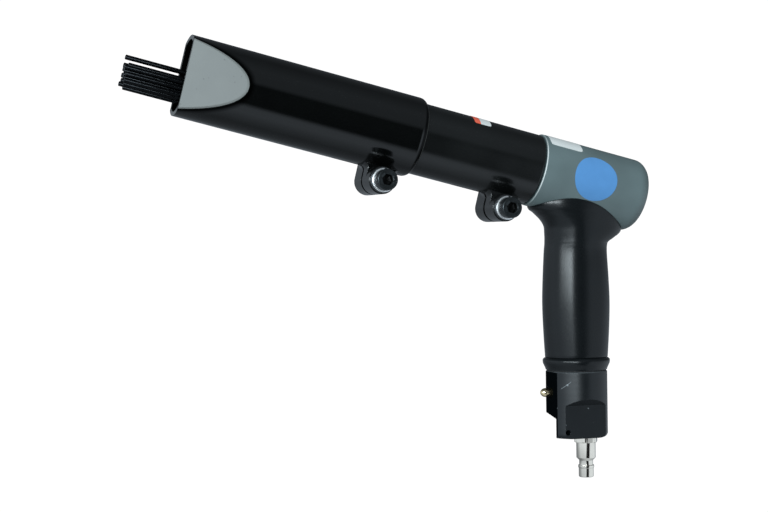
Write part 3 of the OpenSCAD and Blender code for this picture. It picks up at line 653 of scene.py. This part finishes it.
class SCALER_OT_clamps(Operator):
    """Makes the cap screws and spring washers of the two clamps"""
    bl_idname = "scaler.clamps"
    bl_label = "Clamp fasteners"

    def cap_screw(self, name, node, body):
        """A knurled socket cap screw in the place of a plain one."""
        sizes = settings()[1]
        low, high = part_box(node)
        axis = (low + high) / 2
        head_r = (high.z - low.z) / 2
        # An 8 mm screw has a 13 mm head, which is as tall as the shank is wide
        shank_r = head_r * 8 / 13
        head_y = low.y + 2 * shank_r
        segments = 96

        def ring(radius, y):
            return lambda turn: Vector((axis.x + radius * cos(turn), y, axis.z + radius * sin(turn)))

        def knurl(y):
            def place(turn):
                dent = round(turn / tau * segments) % 2 * sizes.knurl_depth
                return ring(head_r - dent, y)(turn)
            return place

        def socket(y):
            return lambda turn: ring(hexagon(turn, sizes.socket_w / 2), y)(turn)

        edge = sizes.screw_edge
        rings = [ring(0, high.y), ring(shank_r - edge, high.y), ring(shank_r, high.y - edge)]
        rings += [ring(shank_r, head_y), ring(head_r - edge / 2, head_y), ring(head_r, head_y - edge / 2)]
        rings += [knurl(head_y - edge), knurl(low.y + 1.8 * edge)]
        rings += [ring(head_r - edge * 0.15, low.y + 1.4 * edge)]
        bends = 4
        for step in range(bends + 1):
            bend = step / bends * pi / 2
            rings.append(ring(head_r - edge * (1 - cos(bend)), low.y + edge * (1 - sin(bend))))
        rings += [ring(sizes.socket_w * 0.62, low.y), socket(low.y + edge * 0.5)]
        rings += [socket(low.y + sizes.socket_h), ring(0, low.y + sizes.socket_h * 1.25)]
        bm = bmesh.new()
        loft(bm, segments, rings)
        new_piece(name, bm, black_oxide, body, "black_steel", node)

    def lock_washer(self, name, node, body):
        """A split spring washer whose two ends stand a little apart."""
        sizes = settings()[1]
        low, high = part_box(node)
        axis = (low + high) / 2
        outer = sizes.washer_d / 2
        inner = sizes.washer_bore / 2
        slit = sizes.washer_slit / outer
        bm = bmesh.new()
        corners = [(inner, low.y), (outer, low.y), (outer, high.y), (inner, high.y)]
        section = bm.faces.new([bm.verts.new((axis.x, y, axis.z + r)) for r, y in corners])
        bmesh.ops.rotate(bm, verts=bm.verts, cent=axis, matrix=Matrix.Rotation(slit / 2, 3, "Y"))
        bmesh.ops.spin(
            bm, geom=[section, *section.edges, *section.verts], cent=axis, axis=(0, 1, 0),
            angle=tau - slit, steps=72, use_merge=False,
        )
        for vertex in bm.verts:
            lean = (vertex.co.y - axis.y) * tan(sizes.washer_lean) / outer
            bmesh.ops.rotate(bm, verts=[vertex], cent=axis, matrix=Matrix.Rotation(lean, 3, "Y"))
        bmesh.ops.recalc_face_normals(bm, faces=bm.faces)
        least_angle = 0.9
        edges = [e for e in bm.edges if len(e.link_faces) == 2 and e.calc_face_angle() > least_angle]
        bmesh.ops.bevel(
            bm, geom=edges, offset=sizes.washer_edge, segments=2, profile=0.5, affect="EDGES", material=-1,
        )
        new_piece(name, bm, zinc_plate, body, "zinc_steel", node)

    def execute(self, context):
        for end, body in (("front", "nozzle"), ("rear", "tool")):
            self.cap_screw(f"{end}_cap_screw", f"{end}_clamp_screw", body)
            self.lock_washer(f"{end}_lock_washer", f"{end}_spring_washer", body)
            dress(phosphated_steel, f"{end}_clamp_washer")
        return {"FINISHED"}


class SCALER_OT_needles(Operator):
    """Makes the bundle of round needles, drawn together towards the mouth"""
    bl_idname = "scaler.needles"
    bl_label = "Needles"

    def ring(self, wide, close, x, radius):
        """A ring of a needle that runs from its place in the holder to its place in the bundle."""
        sizes = settings()[1]
        t = max(0.0, min(1.0, (-sizes.bend_start - x) / (sizes.bend_end - sizes.bend_start)))
        centre = wide.lerp(close, t * t * (3 - 2 * t))
        return lambda turn: in_barrel(x, centre.x + radius * cos(turn), centre.y + radius * sin(turn))

    def execute(self, context):
        sizes = settings()[1]
        radius, chamfer = sizes.needle_d / 2, sizes.needle_chamfer
        head_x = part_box("needles")[1].x - CROSSING.x
        head_r, head_len = radius + 0.7 * MM, 2 * MM
        bend, bend_rows = sizes.bend_end - sizes.bend_start, 20
        start = [(head_x, 0), (head_x, head_r), (head_x - head_len, head_r), (head_x - head_len, radius)]
        start += [(-sizes.bend_start - k / bend_rows * bend, radius) for k in range(bend_rows + 1)]
        bm = bmesh.new()
        # Nineteen needles in columns of 3, 4, 5, 4 and 3; the top one of the middle column is loose
        for column in range(-2, 3):
            for step in range(5 - abs(column)):
                row = step - (4 - abs(column)) / 2
                lift = sizes.needle_lift if (column, row) == (0, 2) else 0.0
                wide = Vector((column * sizes.holder_pitch_y, row * sizes.holder_pitch_z))
                close_z = row * sizes.bundle_pitch_z - sizes.bundle_drop + lift
                close = Vector((column * sizes.bundle_pitch_y, close_z))
                wander = sin(radians(97 * column + 151 * row))
                tip_x = MOUTH_X - CROSSING.x - sizes.needle_reach + sizes.tip_spread * wander
                tip = [(tip_x + chamfer, radius), (tip_x + chamfer * 0.3, radius - chamfer * 0.3)]
                tip += [(tip_x, radius - chamfer), (tip_x, 0)]
                loft(bm, sizes.needle_sides, [self.ring(wide, close, x, r) for x, r in start + tip])
        new_piece("needle_bundle", bm, oiled_needle_steel, "needle_set", "needle_steel", "needles")
        return {"FINISHED"}


# Handle grip, in millimetres: drop below the barrel axis, reach to the front and to the rear, half width
GRIP_END = 112.5
GRIP_STATIONS = [
    (0, 31.5, 31.6, 19.8),
    (15.5, 31.2, 31.6, 19.8),
    (20, 27, 31.6, 19.6),
    (24.2, 22.4, 31.6, 19.3),
    (28.6, 19.5, 31.3, 18.9),
    (33, 19.1, 30.2, 18.6),
    (36.5, 19, 25.6, 18.4),
    (38.8, 19.1, 21.8, 18.3),
    (40.6, 19.2, 20.7, 18.2),
    (46, 19.8, 20.4, 18),
    (62, 20.7, 21.3, 18.5),
    (78, 21.2, 21.8, 18.8),
    (96, 20.6, 21.1, 18.8),
    (GRIP_END, 19.6, 19.9, 18.6),
]


class SCALER_OT_grip(Operator):
    """Lofts the moulded grip, whose saddle cradles the housing"""
    bl_idname = "scaler.grip"
    bl_label = "Grip"

    def station(self, place):
        """Sizes of the section at a place along the list of stations, by a smooth curve through them."""
        last = len(GRIP_STATIONS) - 1
        first = min(int(place), last - 1)
        t = place - first
        near = [GRIP_STATIONS[max(0, min(last, first + k))] for k in (-1, 0, 1, 2)]
        return [
            (2 * b + (c - a) * t + (2 * a - 5 * b + 4 * c - d) * t * t
             + (3 * b - a - 3 * c + d) * t ** 3) / 2 * MM
            for a, b, c, d in zip(*near)
        ]

    def outline(self, turn, place):
        """Point of the outer skin: distance behind the axis, sideways and down."""
        drop, front, rear, half = self.station(place)
        reach = front if cos(turn) < 0 else rear
        power = settings()[1].grip_power
        return rounded(cos(turn), power) * reach, rounded(sin(turn), power) * half, drop

    def rim(self, turn, saddle_r):
        """Where the skin leaves the saddle that the housing lies in."""
        low, high = 0.0, len(GRIP_STATIONS) - 1.0
        for _ in range(40):
            middle = (low + high) / 2
            off, y, drop = self.outline(turn, middle)
            inside = hypot(y, off * HANDLE_BACK.z - drop * HANDLE_UP.z) < saddle_r
            low, high = (middle, high) if inside else (low, middle)
        return high

    def ring_bead(self):
        """The moulded ring under the grip: a hollow flank that runs out into a rounded bead."""
        bore = settings()[1].grip_bore / 2 / MM
        # Radius and drop below the barrel axis, in millimetres
        profile = [
            (bore, GRIP_END), (19.7, GRIP_END), (20.1, 112.75), (20.6, 113.05), (21.05, 113.4),
            (21.3, 113.75), (21.42, 114.2), (21.42, 114.8), (21.36, 115.5), (21.2, 116.2), (20.75, 117.2),
            (20.2, 118.4), (19.8, 119.3), (19.62, 119.8), (19.6, 120.2), (bore, 120.2),
        ]
        bm = bmesh.new()
        loft(bm, 128, [handle_ring(radius, drop) for radius, drop in profile], hollow=True)
        new_piece("ring_bead", bm, moulded_nylon, "tool", "grip_plastic", "grip_ring", sharp=60)

    def execute(self, context):
        sizes = settings()[1]
        saddle_r = HOUSING_R + 0.05 * MM
        bore_r = sizes.grip_bore / 2
        last = len(GRIP_STATIONS) - 1
        rims = {}

        def rim(turn):
            if turn not in rims:
                rims[turn] = self.rim(turn, saddle_r)
            return rims[turn]

        def inward(turn, place, share):
            off, y, _ = self.outline(turn, place)
            return (off + (bore_r * cos(turn) - off) * share, y + (bore_r * sin(turn) - y) * share)

        def seat(share):
            def place(turn):
                off, y = inward(turn, rim(turn), share)
                below = sqrt(saddle_r ** 2 - y ** 2)
                return in_handle(off, y, (off * HANDLE_BACK.z + below) / HANDLE_UP.z)
            return place

        def side(share):
            return lambda turn: in_handle(*self.outline(turn, rim(turn) + (last - rim(turn)) * share))

        def bottom(share):
            return lambda turn: in_handle(*inward(turn, last, share), GRIP_END * MM)

        seat_rows, side_rows, bottom_rows = 6, 60, 3
        rings = [seat(1 - k / seat_rows) for k in range(seat_rows)]
        rings += [side(k / side_rows) for k in range(side_rows + 1)]
        rings += [bottom((k + 1) / bottom_rows) for k in range(bottom_rows)]
        bm = bmesh.new()
        loops = loft(bm, 112, rings, hollow=True)
        edges = loop_edges(bm, loops[seat_rows]) + loop_edges(bm, loops[seat_rows + side_rows])
        bmesh.ops.bevel(
            bm, geom=edges, offset=sizes.grip_edge, segments=3, profile=0.5, affect="EDGES", material=-1,
        )
        new_piece("grip_shell", bm, moulded_nylon, "tool", "grip_plastic", "handle_grip", sharp=50)
        self.ring_bead()
        return {"FINISHED"}


class SCALER_OT_valve_block(Operator):
    """Finishes the valve block, its gasket and the throttle"""
    bl_idname = "scaler.valve_block"
    bl_label = "Valve block"

    def execute(self, context):
        dress(black_anodised, "valve_block", "throttle_bush")
        dress(nitrile_rubber, "block_gasket")
        dress(turned_brass, "throttle_pin", "throttle_seat")
        dress(black_oxide, "throttle_cap")
        return {"FINISHED"}


class SCALER_OT_plug(Operator):
    """Turns the coupler plug with its chamfered hexagon"""
    bl_idname = "scaler.plug"
    bl_label = "Air plug"

    def execute(self, context):
        sizes = settings()[1]
        flat_mm = sizes.plug_hex / 2 / MM

        def hexed(limit, drop):
            return lambda turn: handle_ring(min(hexagon(turn, flat_mm), limit), drop, sizes.plug_off)(turn)

        # Radius and drop below the barrel axis, in millimetres, above and below the hexagon
        thread = [(2.6, 151.9), (6.2, 151.9), (6.55, 152.3), (6.55, 163.4)]
        below = [
            (6.4, 167.2), (6.2, 167.45), (6.2, 176.9), (6.08, 177.25), (4.58, 178.7), (4.45, 179.0),
            (4.45, 181.82), (5.0, 181.88), (5.1, 182.0), (5.1, 183.4), (5.0, 183.6), (4.85, 183.72),
            (4.8, 183.95), (4.8, 188.9), (4.66, 189.32), (4.25, 189.6), (3.0, 189.6), (2.6, 189.2),
        ]
        rings = [handle_ring(radius, drop, sizes.plug_off) for radius, drop in thread]
        rings += [hexed(7.3, 163.4), hexed(7.9, 163.75), hexed(7.9, 166.85), hexed(7.3, 167.2)]
        rings += [handle_ring(radius, drop, sizes.plug_off) for radius, drop in below]
        bm = bmesh.new()
        loft(bm, 96, rings, hollow=True)
        new_piece("coupler_plug", bm, bright_nickel, "tool", "nickel", "air_plug", sharp=28)
        return {"FINISHED"}


class SCALER_OT_labels(Operator):
    """Lays the three plain labels on the housing and the middle tube"""
    bl_idname = "scaler.labels"
    bl_label = "Labels"

    def label(self, name, builder, slot, carrier_r, centre_x, degrees, length_m, width_m, power):
        """A film label wrapped on a round carrier; the turn is measured from -Y up towards +Z."""
        film = settings()[1].label_lift
        rows = 12

        def ring(share, lift):
            def place(turn):
                ahead, upright = cos(turn), sin(turn)
                reach = share / 2 / (abs(ahead) ** power + abs(upright) ** power) ** (1 / power)
                along = ahead * reach * length_m
                angle = radians(degrees) + upright * reach * width_m / carrier_r
                radius = carrier_r + lift
                return in_barrel(centre_x + along, -radius * cos(angle), radius * sin(angle))
            return place

        rings = [ring(k / rows, film) for k in range(rows + 1)]
        rings += [ring(k / rows, -film) for k in range(rows, -1, -1)]
        bm = bmesh.new()
        loft(bm, 96, rings)
        new_piece(name, bm, builder, "tool", slot)

    def execute(self, context):
        sizes = settings()[1]
        round_x, round_d = sizes.round_label_x, sizes.round_label_d
        tube_x, tube_len = sizes.tube_label_x, sizes.tube_label_len
        # Name, finish, slot, carrier's radius, place along the barrel, turn, length, width and squareness
        for label in (
            ("round_label", blue_vinyl, "housing_paint", HOUSING_R, round_x, 5, round_d, round_d, 2),
            ("housing_label", white_vinyl, "housing_paint", HOUSING_R, -15.6 * MM, 79, 22 * MM, 27 * MM, 14),
            ("tube_label", red_and_white_vinyl, "tube_paint", MIDDLE_R, tube_x, 71, tube_len, 16 * MM, 10),
        ):
            self.label(*label)
        return {"FINISHED"}


class SCALER_OT_springs(Operator):
    """Winds the return spring and the throttle spring"""
    bl_idname = "scaler.springs"
    bl_label = "Springs"

    def wound(self, name, node, joint, fixed, free, coil_d, wire_d, turns):
        """A coil of round wire from its fixed end to the end that its joint presses."""
        run = free - fixed
        axis = run.normalized()
        across = Vector((0.0, 1.0, 0.0))
        square = Matrix((axis, across, axis.cross(across))).transposed().to_4x4()
        start = Matrix.Translation(fixed + axis * wire_d / 2 + across * coil_d / 2)
        bm = bmesh.new()
        wire = bmesh.ops.create_circle(bm, segments=10, radius=wire_d / 2, matrix=start @ square)["verts"]
        steps = turns * 32
        climb = axis * ((run.length - wire_d) / steps)
        bmesh.ops.spin(
            bm, geom=wire + list(bm.edges), cent=fixed, axis=axis, dvec=climb, angle=turns * tau,
            steps=steps, use_merge=False,
        )
        bmesh.ops.holes_fill(bm, edges=bm.edges, sides=0)
        piece = new_piece(name, bm, machined_steel, "tool", "inner_steel", node)
        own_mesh(piece)

    def execute(self, context):
        sizes = settings()[1]
        gap = sizes.spring_gap
        ring_x, holder_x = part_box("spring_stop_ring")[1].x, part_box("needle_holder")[0].x
        self.wound(
            "wound_return_spring", "return_spring", "needle_slide", Vector((ring_x + gap, 0.0, BARREL_Z)),
            Vector((holder_x - gap, 0.0, BARREL_Z)), sizes.return_coil_d, sizes.return_wire_d, 5,
        )
        low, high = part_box("throttle_spring")
        half = HANDLE_BACK * (sizes.throttle_spring_len / 2 - gap)
        self.wound(
            "wound_throttle_spring", "throttle_spring", "throttle_slide", (low + high) / 2 + half,
            (low + high) / 2 - half, sizes.throttle_coil_d, sizes.throttle_wire_d, 4,
        )
        return {"FINISHED"}


class SCALER_OT_inner_parts(Operator):
    """Finishes the percussion set, the flutter valve and the other inner parts"""
    bl_idname = "scaler.inner_parts"
    bl_label = "Inner parts"

    def execute(self, context):
        dress(
            machined_steel, "needle_holder", "spring_stop_ring", "anvil", "cylinder_sleeve", "hammer",
            "valve_seat_plate", "valve_disc", "valve_box", "valve_dowels", "air_tube", "throttle_valve",
        )
        dress(cast_bronze, "anvil_bush", "inlet_strainer")
        return {"FINISHED"}


class SCALER_OT_studio(Operator):
    """Sets up the floor, the soft lights, the white tent and the camera"""
    bl_idname = "scaler.studio"
    bl_label = "Studio"

    def softbox(self, name, place, aim, size, power, in_gloss):
        """A rectangular area light that looks at a point."""
        data = bpy.data.lights.new(name, "AREA")
        data.shape = "RECTANGLE"
        data.size, data.size_y = size
        data.energy = power
        data.color = (0.84, 0.95, 1.0)
        lamp = new_object(name, data)
        facing = (Vector(aim) - Vector(place)).to_track_quat("-Z", "Y")
        lamp.matrix_world = Matrix.Translation(place) @ facing.to_matrix().to_4x4()
        lamp.visible_camera = False
        lamp.visible_glossy = in_gloss

    def tent(self, studio):
        """White surroundings; in gloss they show pale walls, a grey roof and a dark opening in front."""
        world = bpy.data.worlds.new("white_tent")
        world.use_nodes = True
        tree = world.node_tree
        tree.nodes.clear()
        towards = add(tree, "TexCoord").outputs["Generated"]
        x, y, z = add(tree, "SeparateXYZ", towards).outputs
        # The opening: its middle, and where its sides, its top and its bottom fade into the walls
        middle = (0.1, 0.0, -0.14)
        off_centre = add(tree, "VectorMath SUBTRACT", towards, middle)
        apart = add(tree, "VectorMath ABSOLUTE", off_centre)
        aside, _, apart_z = add(tree, "SeparateXYZ", apart).outputs
        beside = add(tree, "MapRange", aside, 0.25, 0.37)
        over = add(tree, "MapRange", apart_z, 0.46, 0.60)
        behind = add(tree, "MapRange", y, -0.1, 0.1)
        framed = add(tree, "Math MAXIMUM", beside, over)
        walled = add(tree, "Math MAXIMUM", framed, behind)
        # The walls run from the ground to the roof, and get darker towards the rear
        upper = add(tree, "MapRange", z, 0.1, 0.42, studio.wall_gloss, studio.roof_gloss)
        lower = add(tree, "MapRange", z, -0.58, -0.36, studio.floor_gloss, studio.wall_gloss)
        wall = add(tree, "Math MINIMUM", upper, lower)
        steep = add(tree, "Math ABSOLUTE", z)
        aslant = add(tree, "Math MULTIPLY_ADD", x, 0.15, y)
        depth = add(tree, "Math MULTIPLY_ADD", steep, 0.7, aslant)
        fading = add(tree, "MapRange", depth, 0.25, 0.95, 1, 0.3)
        faded = add(tree, "Math MULTIPLY", wall, fading)
        gloss = add(tree, "Math MULTIPLY_ADD", walled, faded, 0.01)
        cool = add(tree, "VectorMath SCALE", (0.88, 1.0, 1.12), gloss)
        ray = add(tree, "LightPath").outputs
        room = shade((studio.room_light,) * 3)
        lit = add(tree, "Mix RGBA", ray["Is Glossy Ray"], room, cool)
        seen = add(tree, "Mix RGBA", ray["Is Camera Ray"], lit, (1.05, 1.05, 1.05, 1.0))
        add(tree, "OutputWorld", add(tree, "Background", seen))
        bpy.context.scene.world = world

    def floor(self, studio):
        """A plain pale floor."""
        bm = bmesh.new()
        bmesh.ops.create_grid(bm, x_segments=4, y_segments=4, size=1.0)
        bmesh.ops.translate(bm, verts=bm.verts, vec=(0, 0, studio.floor_z))
        mesh = bpy.data.meshes.new("floor")
        bm.to_mesh(mesh)
        bm.free()
        mesh.materials.append(made_once(matt_white_board))
        floor = new_object("floor", mesh)
        floor.visible_glossy = False

    def camera(self):
        """The photograph's viewpoint."""
        data = bpy.data.cameras.new("camera")
        data.sensor_width = 36.0
        data.lens = CAMERA_LENS
        data.clip_start = 0.01
        camera = new_object("camera", data)
        yaw, pitch, roll = (radians(turn) for turn in CAMERA_TURNS)
        ahead = Vector((sin(yaw) * cos(pitch), cos(yaw) * cos(pitch), sin(pitch)))
        right = ahead.cross(Vector((0, 0, 1))).normalized()
        above = right.cross(ahead)
        across = right * cos(roll) + above * sin(roll)
        upward = above * cos(roll) - right * sin(roll)
        turned = Matrix((across, upward, -ahead)).transposed()
        camera.matrix_world = Matrix.Translation(CAMERA_PLACE) @ turned.to_4x4()
        bpy.context.scene.camera = camera

    def execute(self, context):
        studio = settings()[2]
        self.tent(studio)
        self.floor(studio)
        self.softbox("key_softbox", (-1.01, -1.11, 0.0), (0, 0, 0.03), (1.4, 0.24), studio.key_power, True)
        self.softbox("top_softbox", (-0.1, -0.6, 1.0), (-0.1, 0, 0), (0.9, 0.35), studio.top_power, False)
        self.camera()
        bpy.context.scene.view_settings.view_transform = "Standard"
        return {"FINISHED"}


OPERATORS = (
    SCALER_OT_tubes, SCALER_OT_housing, SCALER_OT_clamps, SCALER_OT_needles, SCALER_OT_grip,
    SCALER_OT_valve_block, SCALER_OT_plug, SCALER_OT_labels, SCALER_OT_springs, SCALER_OT_inner_parts,
    SCALER_OT_studio,
)
GROUPS = {"scaler_colours": ScalerColours, "scaler_sizes": ScalerSizes, "scaler_studio": ScalerStudio}


class SCALER_PT_panel(Panel):
    """Lists the settings and the pieces"""
    bl_idname = "SCALER_PT_panel"
    bl_label = "Needle scaler"
    bl_space_type = "VIEW_3D"
    bl_region_type = "UI"
    bl_category = "Scaler"

    def draw(self, context):
        for name, group in GROUPS.items():
            box = self.layout.box()
            for key in group.__annotations__:
                box.prop(getattr(context.scene, name), key)
        for operator in OPERATORS:
            self.layout.operator(operator.bl_idname)


def register():
    """Registers the settings, the operators and the panel."""
    for item in (*GROUPS.values(), *OPERATORS, SCALER_PT_panel):
        bpy.utils.register_class(item)
    for name, group in GROUPS.items():
        setattr(Scene, name, PointerProperty(type=group))


def unregister():
    """Takes them away again."""
    for name in GROUPS:
        delattr(Scene, name)
    for item in (SCALER_PT_panel, *reversed(OPERATORS), *GROUPS.values()):
        bpy.utils.unregister_class(item)


def main():
    """Makes every piece in order."""
    register()
    bpy.ops.scaler.tubes()
    bpy.ops.scaler.housing()
    bpy.ops.scaler.clamps()
    bpy.ops.scaler.needles()
    bpy.ops.scaler.grip()
    bpy.ops.scaler.valve_block()
    bpy.ops.scaler.plug()
    bpy.ops.scaler.labels()
    bpy.ops.scaler.springs()
    bpy.ops.scaler.inner_parts()
    bpy.ops.scaler.studio()


if __name__ == "__main__":
    main()
